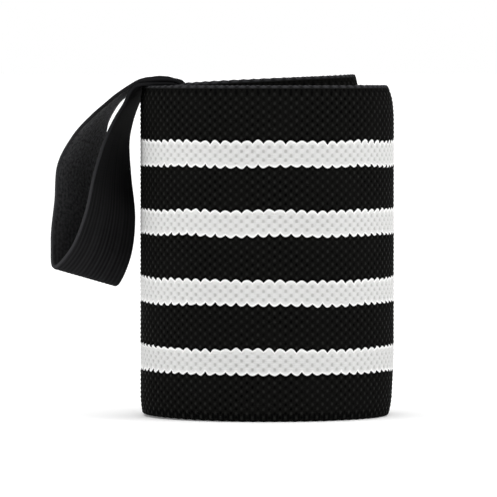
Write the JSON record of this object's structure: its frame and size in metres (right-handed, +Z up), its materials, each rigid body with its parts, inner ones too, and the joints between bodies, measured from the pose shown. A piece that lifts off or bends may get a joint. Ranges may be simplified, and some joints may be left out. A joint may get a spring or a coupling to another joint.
{
  "type": "wrist wrap",
  "caption": "Rolled elastic wrist wrap with white stripes woven along black webbing, standing on its edge as an open coil, its ribbed thumb loop hung over the rim.",
  "frame": {"origin": "on the floor, under the middle of the whole outline, thumb loop included", "axes": "+Z up along the coil's axis, -Y towards the front that shows the plain outer turn, -X towards the thumb loop"},
  "size_m": [0.0832, 0.0628, 0.0826],
  "materials": {
    "webbing": "matte woven elastic, black with white stripes along its length",
    "loop_elastic": "fine ribbed black elastic with a slight sheen",
    "hook_tape": "black nylon hook tape"
  },
  "bodies": {
    "root": {"wrap_band": "webbing", "thumb_loop": "loop_elastic", "hook_patch": "hook_tape"}
  },
  "joints": []
}
